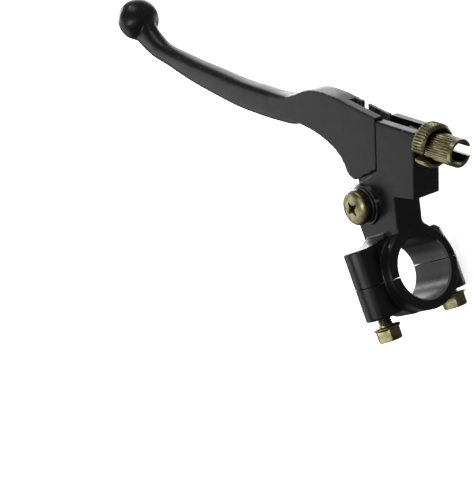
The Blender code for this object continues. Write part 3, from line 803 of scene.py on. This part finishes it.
def blade_form():
    """A ring of points drawn along the blade's line, a rounded oblong wherever it is cut."""
    line = through(BLADE_LINE, 6)
    deselect()
    bpy.ops.mesh.primitive_circle_add(vertices=BLADE_SIDES, fill_type="NGON")
    blade = named("blade")
    bpy.ops.object.mode_set(mode="EDIT")
    for station in range(len(line) - 1):
        bpy.ops.mesh.extrude_region_move()
    bpy.ops.object.mode_set(mode="OBJECT")
    for station, (x, y, half) in enumerate(line):
        ahead = line[min(station + 1, len(line) - 1)]
        behind = line[max(station - 1, 0)]
        heading = Vector((ahead[0] - behind[0], ahead[1] - behind[1], 0.0)).normalized()
        across = UP.cross(heading)
        centre = Vector((x, y, LEVER_MIDDLE / MM))
        height = min(BLADE_FLATNESS * half, BLADE_HALF_HEIGHT / MM)
        for i in range(BLADE_SIDES):
            angle = math.tau * i / BLADE_SIDES
            rim = across * squared(math.cos(angle), x) * half
            rim += UP * squared(math.sin(angle), x) * height
            blade.data.vertices[station * BLADE_SIDES + i].co = (centre + rim) * MM
    return weld_and_face_out(blade)


def ball_form():
    radius = sizes().ball_radius
    centre = Vector((LEVER_LOW.x + radius, LEVER_HIGH.y - radius, LEVER_MIDDLE))
    deselect()
    bpy.ops.mesh.primitive_uv_sphere_add(segments=64, ring_count=40, radius=radius, location=centre)
    return settled(named("ball"))


def make_lever():
    joint = JOINT_A - JOINT_GAP
    front = through([(x * MM, y * MM) for x, y in HEAD_FRONT], 6)
    back = through([(x * MM, y * MM) for x, y in HEAD_BACK], 6)
    head_outline = [
        on_block(joint, JOINT_FOOT_F + 0.7 * MM),
        on_block(joint, BLOCK_TOP_F + 0.8 * MM),
        *front,
        *back,
    ]
    tongue_outline = [
        *arc(PIVOT, TONGUE_RADIUS, 160.0, 362.0, 24),
        on_block(-4.5 * MM, 39.5 * MM),
        on_block(-4.5 * MM, CABLE_F - 4.5 * MM),
        on_block(JOINT_A - 3.0 * MM, CABLE_F - 3.5 * MM),
        (-3.0 * MM, 50.0 * MM),
        (-6.0 * MM, 40.0 * MM),
    ]
    forms = [
        plate("head", head_outline, LEVER_BOTTOM, LEVER_TOP),
        blade_form(),
        ball_form(),
    ]
    lever = cast("lever_casting", forms, sizes().lever_skin, 6)
    blade = lever.vertex_groups.new(name="blade")
    for vertex in lever.data.vertices:
        share = min((EASED_FROM_X - vertex.co.x) / EASED_OVER, 1.0)
        if share > 0.0 and vertex.co.y <= BALL_NECK_Y:
            blade.add([vertex.index], share, "REPLACE")
    ease(lever, 40, "blade")
    slot_foot_f, past_front_f = CABLE_F - 2.0 * MM, BLOCK_TOP_F + 9.0 * MM
    slot_outline = [
        on_block(JOINT_A + REACH, slot_foot_f),
        on_block(POCKET_A, slot_foot_f),
        on_block(POCKET_A - 3.6 * MM, CABLE_F),
        on_block(POCKET_A - 6.2 * MM, past_front_f),
        on_block(JOINT_A + REACH, past_front_f),
    ]
    pocket = Vector((*on_block(POCKET_A, CABLE_F), 0.0))
    carve(
        lever,
        plate("cable_slot", slot_outline, *CABLE_SLOT),
        rod("pocket", pocket - UP * REACH, pocket + UP * POCKET_TOP, POCKET_RADIUS),
        stand(block("slit", SLIT_LOW, SLIT_HIGH), pocket, ALONG, UP),
    )
    tongue = plate("tongue", tongue_outline, TONGUE_BOTTOM, TONGUE_TOP)
    combine(lever, tongue, "UNION")
    carve(lever, rod("bush_hole", PIVOT - UP * REACH, PIVOT + UP * REACH, BUSH_HOLE_RADIUS))
    finished(lever, "lever", ["lever_blade"], FINISHES["lever"])


# ---------------------------------------------------------------- turned hardware

THREAD_STEPS = 6                    # rings of points in one pitch of a thread


def thread_heights(low, high, pitch):
    """Ring heights close enough together to show a thread of this pitch."""
    count = max(2, round((high - low) / pitch * THREAD_STEPS))
    return [low + (high - low) * i / count for i in range(count + 1)]


def cut_thread(piece, low, high, pitch, depth, radius):
    """A helical thread between two heights, fading out over half a turn at each end."""
    def shaped(at, z, angle):
        if abs(at - radius) > 0.05 * MM or not low <= z <= high:
            return at
        fade = min(1.0, (z - low) / (0.5 * pitch), (high - z) / (0.5 * pitch))
        return at - depth * max(0.0, fade) * wave(z / pitch - angle / math.tau)
    return reshape_radius(piece, shaped)


def hexagon(name, across, low, high, chamfered):
    """A hexagon with the corners of its chamfered ends turned off, as on a lathe."""
    corner = across / math.sqrt(3.0)
    deselect()
    bpy.ops.mesh.primitive_cylinder_add(
        vertices=6, radius=corner, depth=high - low, location=(0, 0, (low + high) / 2)
    )
    prism = settled(named(name))
    chamfer = 0.5 * (corner - across / 2)
    inner = across / 2 * 0.97
    profile = [(0.0, high)]
    for end, inward in ((high, -1), (low, 1)):
        if end in chamfered:
            corners = [(inner, end), (corner * 1.02, end + inward * (chamfer + 0.3 * MM))]
        else:
            corners = [(corner * 1.02, end)]
        profile += corners if inward < 0 else corners[::-1]
    profile.append((0.0, low))
    return combine(prism, turned("turning", profile, 72), "INTERSECT")


def cross_outline(tip_radius, tip_half, root):
    """A four-winged star, with blunt tips."""
    outline = []
    for quarter in range(4):
        turn = Matrix.Rotation(quarter * math.pi / 2, 2)
        for point in ((tip_radius, -tip_half), (tip_radius, tip_half), (root, root)):
            outline.append(tuple(turn @ Vector(point)))
    return outline


def make_screw():
    top = SCREW_HIGH.z
    under_head = top - 3.9 * MM
    tip = SCREW_LOW.z
    radius = sizes().head_radius
    dome, roundness, dome_steps = 1.8 * MM, 2.4, 14
    shank, pitch = 3.0 * MM, 1.0 * MM
    thread = (tip + 0.5 * MM, NUT_HIGH.z + 2.0 * MM)
    crown = []
    for i in range(dome_steps + 1):
        r = radius * math.sin(math.pi / 2 * i / dome_steps)
        drop = dome * (1.0 - (1.0 - (r / radius) ** roundness) ** (1 / roundness))
        crown.append((r, top - drop))
    profile = [
        *crown,
        (radius, under_head + 0.25 * MM),
        (radius - 0.25 * MM, under_head),
        (shank, under_head),
        *[(shank, z) for z in reversed(thread_heights(*thread, pitch))],
        (shank - 0.6 * MM, tip),
        (0.0, tip),
    ]
    screw = cut_thread(turned("pivot_screw_zinc", profile, 72), *thread, pitch, 0.55 * MM, shank)
    depth, floor_scale = sizes().recess_depth, 0.4
    recess = plate("recess", cross_outline(3.3 * MM, 0.36 * MM, 1.05 * MM), -depth, 0.6 * MM)
    for vertex in recess.data.vertices:
        if vertex.co.z < 0.0:
            vertex.co.x *= floor_scale
            vertex.co.y *= floor_scale
    turn = math.radians(20.0)
    stand(recess, UP * top, Vector((math.cos(turn), math.sin(turn), 0.0)), UP)
    combine(screw, recess, "DIFFERENCE")
    screw.data.transform(Matrix.Translation((PIVOT.x, PIVOT.y, 0.0)))
    finished(screw, "perch", ["pivot_screw"], FINISHES["zinc"])


def make_washer():
    low, high = WASHER_LOW.z, WASHER_HIGH.z
    outer = (WASHER_HIGH.x - WASHER_LOW.x) / 2
    edge, hole, hole_edge = 0.22 * MM, 3.3 * MM, 3.5 * MM
    profile = [
        (outer - edge, high),
        (outer, high - edge),
        (outer, low + edge),
        (outer - edge, low),
        (hole_edge, low),
        (hole, low + edge),
        (hole, high - edge),
        (hole_edge, high),
    ]
    washer = turned("pivot_washer_black", profile, ROUND_SIDES)
    washer.data.transform(Matrix.Translation((PIVOT.x, PIVOT.y, 0.0)))
    finished(washer, "perch", ["pivot_washer"], FINISHES["washer"])


def make_nut():
    low, high = NUT_LOW.z, NUT_HIGH.z
    nut = hexagon("pivot_nut_zinc", 10.0 * MM, low, high, (low, high))
    hole, mouth, past = 3.3 * MM, 4.1 * MM, 1.0 * MM
    bore = [
        (0.0, high + past),
        (mouth, high + past),
        (hole, high - 0.4 * MM),
        (hole, low + 0.4 * MM),
        (mouth, low - past),
        (0.0, low - past),
    ]
    combine(nut, turned("nut_bore", bore, 48), "DIFFERENCE")
    stand(nut, Vector((PIVOT.x, PIVOT.y, 0.0)), FORWARD, UP)
    finished(nut, "perch", ["pivot_nut"], FINISHES["zinc"])


def make_bolt(name, node, body, side):
    """An M5 bolt made upright, its seat at height zero, then stood along the bar's front."""
    low, high = BOLT_BOXES[side]
    flange, hex_height, shank = 1.2 * MM, 4.0 * MM, 2.5 * MM
    seat = low.y + hex_height + flange
    tip = high.y - seat
    pitch = 0.8 * MM
    thread = (0.4 * MM, tip - 0.5 * MM)
    outer = (high.x - low.x) / 2
    profile = [
        (0.0, tip),
        (shank - 0.5 * MM, tip),
        *[(shank, z) for z in reversed(thread_heights(*thread, pitch))],
        (shank, 0.0),
        (outer - 0.35 * MM, 0.0),
        (outer, -0.25 * MM),
        (outer, -0.55 * MM),
        (4.3 * MM, -flange),
        (0.0, -flange),
    ]
    bolt = cut_thread(turned(name, profile, 48), *thread, pitch, 0.45 * MM, shank)
    head_end = -flange - hex_height
    head = hexagon("head", 8.0 * MM, head_end, -flange + 0.3 * MM, (head_end,))
    hollow = [
        (0.0, 1.0 * MM),
        (2.9 * MM, 1.0 * MM),
        (2.3 * MM, -0.6 * MM),
        (0.0, -0.8 * MM),
    ]
    dish = stand(turned("dish", hollow, 48), UP * head_end, RIGHT, -UP)
    combine(head, dish, "DIFFERENCE")
    combine(bolt, head, "UNION")
    stand(bolt, Vector((BOLT_X, seat, BOLT_Z[side])), RIGHT, FORWARD)
    finished(bolt, body, [node], FINISHES["zinc"])


# ---------------------------------------------------------------- cable adjuster

KNURL_FADE = 0.25 * MM              # how soon a knurl's ridges run out at its ends
KNURL_SHARPNESS = 1.4
KNURL_REACH = 1.2 * MM              # points further in than this belong to the hole
POINTS_A_TOOTH = 6


def knurled(depth, teeth, radius, low, high):
    """A straight knurl: ridges along the axis, cut in from the given radius."""
    def shaped(at, z, angle):
        if not low <= z <= high:
            return at
        fade = min(1.0, (z - low) / KNURL_FADE, (high - z) / KNURL_FADE)
        groove = radius - depth * fade * wave(angle / math.tau * teeth) ** KNURL_SHARPNESS
        return min(at, groove) if at > radius - KNURL_REACH else at
    return shaped


def cable_slot_cutter(start, end, width):
    """A slot along the axis, open to one side, which lets the cable in."""
    return block("slot", (-width / 2, -10.0 * MM, start), (width / 2, 0, end))


def make_adjuster():
    radius = sizes().barrel_radius
    stem, pitch = 3.9 * MM, 1.25 * MM
    socket, cable_hole = 3.7 * MM, 1.3 * MM
    thread = (THREAD_START_A + 0.4 * MM, BARREL_START_A - 0.5 * MM)
    knurl = (BARREL_START_A + 0.3 * MM, BARREL_END_A - 1.7 * MM)
    profile = [
        (radius - 0.25 * MM, BARREL_END_A),
        (radius - 0.05 * MM, BARREL_END_A - 0.2 * MM),
        (radius - 0.05 * MM, knurl[1]),
        (radius, knurl[1] - 0.02 * MM),
        (radius, knurl[1] - 0.27 * MM),
        (radius, knurl[0] + 0.27 * MM),
        (radius, knurl[0]),
        (radius - 0.3 * MM, BARREL_START_A),
        (stem, BARREL_START_A),
        *[(stem, a) for a in reversed(thread_heights(*thread, pitch))],
        (stem - 0.5 * MM, THREAD_START_A),
        (cable_hole, THREAD_START_A),
        (cable_hole, SOCKET_FLOOR_A),
        (socket, SOCKET_FLOOR_A),
        (socket, BARREL_END_A - 0.3 * MM),
        (socket + 0.3 * MM, BARREL_END_A),
    ]
    teeth = sizes().barrel_teeth
    barrel = turned("adjuster_zinc", profile, teeth * POINTS_A_TOOTH)
    reshape_radius(barrel, knurled(sizes().knurl_depth, teeth, radius, *knurl))
    cut_thread(barrel, *thread, pitch, 0.6 * MM, stem)
    slots = (
        (SOCKET_FLOOR_A, BARREL_END_A + PAST_FACE, 3.2 * MM),
        (-PAST_FACE, SOCKET_FLOOR_A + 1.0 * MM, 2.0 * MM),
    )
    for slot in slots:
        combine(barrel, cable_slot_cutter(*slot), "DIFFERENCE")
    stand(barrel, CABLE_LINE, AHEAD, ALONG)
    finished(barrel, "adjuster", ["cable_adjuster"], FINISHES["zinc"], 28.0)


def make_lock_ring():
    radius = sizes().lock_ring_radius
    chamfer, chamfer_steps = 0.9 * MM, 3
    hole, seat, seat_floor_a = 4.2 * MM, 5.95 * MM, 11.8 * MM
    front = []
    for i in range(chamfer_steps + 1):
        out = chamfer * (chamfer_steps - i) / chamfer_steps
        front.append((radius - out, RING_END_A - chamfer * i / chamfer_steps))
    profile = [
        *front,
        (radius, RING_START_A + 0.7 * MM),
        (radius, RING_START_A + 0.5 * MM),
        (radius - 0.5 * MM, RING_START_A),
        (hole, RING_START_A),
        (hole, seat_floor_a),
        (seat, seat_floor_a),
        (seat, RING_END_A - 0.25 * MM),
        (seat + 0.2 * MM, RING_END_A),
    ]
    teeth = sizes().ring_teeth
    ring = turned("lock_ring_zinc", profile, teeth * POINTS_A_TOOTH)
    knurl_start = RING_START_A + KNURL_FADE
    reshape_radius(ring, knurled(sizes().ring_knurl_depth, teeth, radius, knurl_start, REACH))
    past, slot_turn = 2.0 * MM, math.radians(201.0)
    slot = cable_slot_cutter(RING_START_A - past, RING_END_A + past, 3.3 * MM)
    slot.data.transform(Matrix.Rotation(slot_turn, 4, "Z"))
    combine(ring, slot, "DIFFERENCE")
    stand(ring, CABLE_LINE, AHEAD, ALONG)
    finished(ring, "lock_ring", ["adjuster_lock_ring"], FINISHES["zinc"], 28.0)


# ---------------------------------------------------------------- stage

VIEW_AXES = ((0.4955, -0.3300, -0.8035), (0.1558, 0.9438, -0.2915), (0.8545, 0.0193, 0.5191))
VIEW_POINT = Vector((0.3619, 0.0354, 0.2830))
VIEW_LENS = 93.69
SENSOR_WIDTH = 36.0
FLOOR_SIZE = 6.0
FLOOR_GLOW = 0.88                   # a floor that glows shows hardly any shadow
AIR_GLOW = 0.22

# Each soft box: its direction from the perch, its distance, width, height and power
SOFT_LIGHTS = {
    "front_box": ((0.1, 1.0, 0.35), 0.8, 0.5, 0.3, 3.5),
    "face_box": ((-0.85, 0.0, 0.55), 0.9, 0.9, 0.6, 4.4),
    "top_box": ((0.0, 0.0, 1.0), 0.8, 0.5, 0.12, 5.0),
    "edge_box": ((0.52, -0.05, 0.85), 0.8, 0.04, 0.3, 0.6),
    "rim_box": ((-0.85, 0.52, 0.06), 0.8, 0.3, 0.1, 2.0),
    "back_box": ((-0.65, 0.50, -0.52), 0.8, 0.8, 0.6, 6.0),
    "under_box": ((-0.15, 0.0, -1.0), 0.8, 0.2, 0.5, 1.8),
}


def make_camera():
    data = bpy.data.cameras.new("view_camera")
    data.lens = VIEW_LENS
    data.sensor_width = SENSOR_WIDTH
    camera = bpy.data.objects.new("view_camera", data)
    bpy.context.scene.collection.objects.link(camera)
    turn = Matrix(VIEW_AXES).transposed().to_quaternion().to_matrix().to_4x4()
    camera.matrix_world = Matrix.Translation(VIEW_POINT) @ turn
    bpy.context.scene.camera = camera


def soft_light(name, direction, distance, width, height, power):
    """A soft box that looks at the perch, its width level and its height upright."""
    data = bpy.data.lights.new(name, "AREA")
    data.shape = "RECTANGLE"
    data.energy = power
    data.size = width
    data.size_y = height
    light = bpy.data.objects.new(name, data)
    light.location = PIVOT + Vector(direction).normalized() * distance
    light.rotation_euler = (-Vector(direction)).to_track_quat("-Z", "Y").to_euler()
    bpy.context.scene.collection.objects.link(light)


def make_floor():
    deselect()
    bpy.ops.mesh.primitive_plane_add(size=FLOOR_SIZE, location=(0, 0, CAD_BOX[0].z - 0.2 * MM))
    floor = settled(named("studio_floor"))
    finish = Finish("pale_floor")
    pale = colours().floor
    shade = finish.mixed(finish.noise(3.0), pale, tuple(part * 0.985 for part in pale))
    finish.link(shade, finish.shader.inputs["Base Color"])
    finish.shader.inputs["Roughness"].default_value = 0.9
    finish.shader.inputs["Specular IOR Level"].default_value = 0.1
    finish.link(shade, finish.shader.inputs["Emission Color"])
    finish.shader.inputs["Emission Strength"].default_value = FLOOR_GLOW
    floor.data.materials.append(finish.material)
    # a pale sheet over a dark room: the pieces reflect the lights and not the sheet
    floor.visible_glossy = False
    floor.visible_shadow = False


def make_world():
    world = bpy.data.worlds.new("studio_air")
    world.use_nodes = True
    background = world.node_tree.nodes["Background"]
    background.inputs["Color"].default_value = (1.0, 1.0, 1.0, 1.0)
    background.inputs["Strength"].default_value = AIR_GLOW
    bpy.context.scene.world = world


def make_stage():
    make_world()
    make_floor()
    for name, settings in SOFT_LIGHTS.items():
        soft_light(name, *settings)
    make_camera()
    bpy.context.scene.view_settings.view_transform = "Standard"


# ---------------------------------------------------------------- add-on

class MakesPieces:
    """What every operator of this add-on shares."""

    bl_options = {"REGISTER", "UNDO"}
    makers = ()

    def execute(self, context):
        for maker in self.makers:
            maker()
        return {"FINISHED"}


class CLUTCHLEVER_OT_finishes(MakesPieces, bpy.types.Operator):
    """Builds the paint, plating and steel finishes"""

    bl_idname = "clutch_lever.finishes"
    bl_label = "Finishes"
    makers = (make_finishes,)


class CLUTCHLEVER_OT_perch(MakesPieces, bpy.types.Operator):
    """Models the perch casting"""

    bl_idname = "clutch_lever.perch"
    bl_label = "Perch"
    makers = (make_perch,)


class CLUTCHLEVER_OT_cap(MakesPieces, bpy.types.Operator):
    """Models the clamp's cap"""

    bl_idname = "clutch_lever.cap"
    bl_label = "Clamp Cap"
    makers = (make_cap,)


class CLUTCHLEVER_OT_lever(MakesPieces, bpy.types.Operator):
    """Models the lever with its blade and ball"""

    bl_idname = "clutch_lever.lever"
    bl_label = "Lever"
    makers = (make_lever,)


class CLUTCHLEVER_OT_pivot(MakesPieces, bpy.types.Operator):
    """Models the pivot screw, washer and nut"""

    bl_idname = "clutch_lever.pivot"
    bl_label = "Pivot Hardware"
    makers = (make_screw, make_washer, make_nut)


class CLUTCHLEVER_OT_bush(bpy.types.Operator):
    """Gives the lever's bush its turned steel finish"""

    bl_idname = "clutch_lever.bush"
    bl_label = "Pivot Bush"

    def execute(self, context):
        bush = frame["nodes"]["pivot_bush"]
        for place in bush.material_slots:
            place.material = FINISHES["steel"]
        return {"FINISHED"}


class CLUTCHLEVER_OT_bolts(bpy.types.Operator):
    """Models the two clamp bolts"""

    bl_idname = "clutch_lever.bolts"
    bl_label = "Clamp Bolts"

    def execute(self, context):
        make_bolt("upper_bolt_zinc", "clamp_bolt_upper", "bolt_upper", 1)
        make_bolt("lower_bolt_zinc", "clamp_bolt_lower", "bolt_lower", -1)
        return {"FINISHED"}


class CLUTCHLEVER_OT_adjuster(MakesPieces, bpy.types.Operator):
    """Models the cable adjuster and its lock ring"""

    bl_idname = "clutch_lever.adjuster"
    bl_label = "Cable Adjuster"
    makers = (make_adjuster, make_lock_ring)


class CLUTCHLEVER_OT_stage(MakesPieces, bpy.types.Operator):
    """Sets the floor, the lights and the camera"""

    bl_idname = "clutch_lever.stage"
    bl_label = "Studio Stage"
    makers = (make_stage,)


STEPS = (
    CLUTCHLEVER_OT_finishes,
    CLUTCHLEVER_OT_perch,
    CLUTCHLEVER_OT_cap,
    CLUTCHLEVER_OT_lever,
    CLUTCHLEVER_OT_bush,
    CLUTCHLEVER_OT_pivot,
    CLUTCHLEVER_OT_bolts,
    CLUTCHLEVER_OT_adjuster,
    CLUTCHLEVER_OT_stage,
)


class CLUTCHLEVER_PT_panel(bpy.types.Panel):
    """Lists the sizes, the colours and the steps"""

    bl_label = "Clutch Lever"
    bl_idname = "CLUTCHLEVER_PT_panel"
    bl_space_type = "VIEW_3D"
    bl_region_type = "UI"
    bl_category = "Clutch Lever"

    def draw(self, context):
        for group in (context.scene.clutch_lever_sizes, context.scene.clutch_lever_colours):
            column = self.layout.column(align=True)
            for name in group.__annotations__:
                column.prop(group, name)
        for step in STEPS:
            self.layout.operator(step.bl_idname)


CLASSES = (ClutchLeverSizes, ClutchLeverColours, *STEPS, CLUTCHLEVER_PT_panel)


def register():
    for item in CLASSES:
        bpy.utils.register_class(item)
    bpy.types.Scene.clutch_lever_sizes = bpy.props.PointerProperty(type=ClutchLeverSizes)
    bpy.types.Scene.clutch_lever_colours = bpy.props.PointerProperty(type=ClutchLeverColours)


def unregister():
    del bpy.types.Scene.clutch_lever_colours
    del bpy.types.Scene.clutch_lever_sizes
    for item in reversed(CLASSES):
        bpy.utils.unregister_class(item)


def main():
    register()
    bpy.ops.clutch_lever.finishes()
    bpy.ops.clutch_lever.perch()
    bpy.ops.clutch_lever.cap()
    bpy.ops.clutch_lever.lever()
    bpy.ops.clutch_lever.bush()
    bpy.ops.clutch_lever.pivot()
    bpy.ops.clutch_lever.bolts()
    bpy.ops.clutch_lever.adjuster()
    bpy.ops.clutch_lever.stage()
    deselect()


if __name__ == "__main__":
    main()
